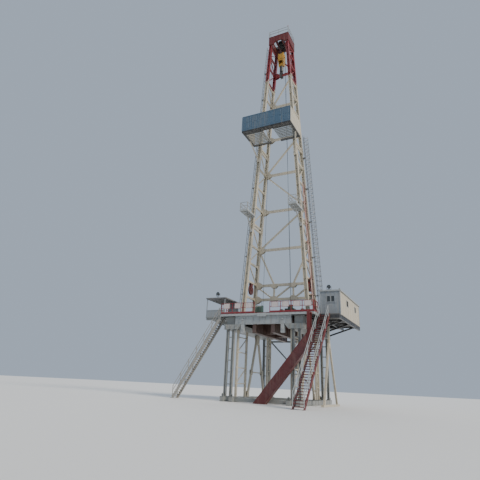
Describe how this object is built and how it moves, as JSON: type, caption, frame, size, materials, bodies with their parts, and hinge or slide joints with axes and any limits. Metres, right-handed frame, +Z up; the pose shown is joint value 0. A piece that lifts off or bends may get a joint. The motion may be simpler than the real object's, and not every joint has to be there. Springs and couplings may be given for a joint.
{
  "type": "oil drilling rig, 1:2 scale model",
  "caption": "Land drilling rig with an open-fronted tapering mast on a raised floor, with monkey board, cabin, shelter, stairs and a travelling block that runs up and down.",
  "frame": {"origin": "on the ground, under the middle of the rig's outline", "axes": "+Z up; +X to the right seen from the open front of the mast; +Y from the front to the back"},
  "size_m": [9.5168, 9.6222, 26.9],
  "materials": {
    "cream_paint": "semi-gloss, weathered",
    "red_paint": "semi-gloss, weathered",
    "dark_red_paint": "satin, weathered",
    "grey_paint": "satin, weathered",
    "pale_grey_paint": "satin, weathered",
    "green_paint": "satin",
    "blue_paint": "satin, seamed sheet",
    "yellow_paint": "semi-gloss",
    "cabin_paint": "satin, seamed sheet",
    "board_paint": "satin",
    "deck_plate": "worn tread plate",
    "dark_steel": "satin, worn",
    "galvanized": "dull zinc",
    "wire_rope": "greased",
    "black_lamp": "satin",
    "glass": "clear, tinted"
  },
  "bodies": {
    "rig": {"base_skids": "grey_paint", "support_posts": "grey_paint", "trestles": "cream_paint", "rear_bracing": "grey_paint", "cap_girders": "grey_paint", "cross_girders": "pale_grey_paint", "rotary_beams": "dark_red_paint", "drill_floor": "deck_plate", "floor_edge": "pale_grey_paint", "rotary_table": "dark_steel", "front_rails": "red_paint", "rail_boards": "board_paint", "rear_rails": "red_paint", "drawworks": "green_paint", "driller_console": "green_paint", "shelter_platform": "grey_paint", "shelter_walls": "cabin_paint", "shelter_roof": "dark_steel", "cabin_bracket": "dark_steel", "cabin_support": "cream_paint", "cabin_floor": "dark_steel", "cabin_front_wall": "cabin_paint", "cabin_rear_wall": "cabin_paint", "cabin_left_wall": "cabin_paint", "cabin_right_wall": "cabin_paint", "cabin_door": "cabin_paint", "cabin_glass": "glass", "cabin_roof": "pale_grey_paint", "left_stair": "grey_paint", "right_stair": "dark_red_paint", "right_stair_rails": "pale_grey_paint", "stair_treads": "dark_steel", "slide": "dark_red_paint", "lower_leg_frames": "cream_paint", "middle_leg_frames": "cream_paint", "upper_leg_frames": "cream_paint", "top_leg_frames": "red_paint", "base_truss": "cream_paint", "back_bracing": "cream_paint", "top_bracing": "red_paint", "crown_frame": "dark_red_paint", "crown_sheaves": "dark_steel", "crown_rails": "pale_grey_paint", "board_floor": "dark_steel", "pipe_fingers": "grey_paint", "board_front_wall": "blue_paint", "board_side_walls": "cream_paint", "board_struts": "cream_paint", "balconies": "pale_grey_paint", "left_ladder": "galvanized", "right_ladder": "galvanized", "ladder_cage": "galvanized", "standpipes": "dark_red_paint", "raising_sheaves": "dark_red_paint", "drilling_lines": "wire_rope", "hoist_lines": "wire_rope", "floodlights": "black_lamp"},
    "hoisting_block": {"travelling_block": "yellow_paint", "hook": "dark_steel"}
  },
  "joints": [
    {"name": "hoist", "type": "slide", "parent": "rig", "child": "hoisting_block", "axis": [0, 0, 1], "range_m": [-17.2, 0.3], "deforming": ["drilling_lines"]}
  ]
}
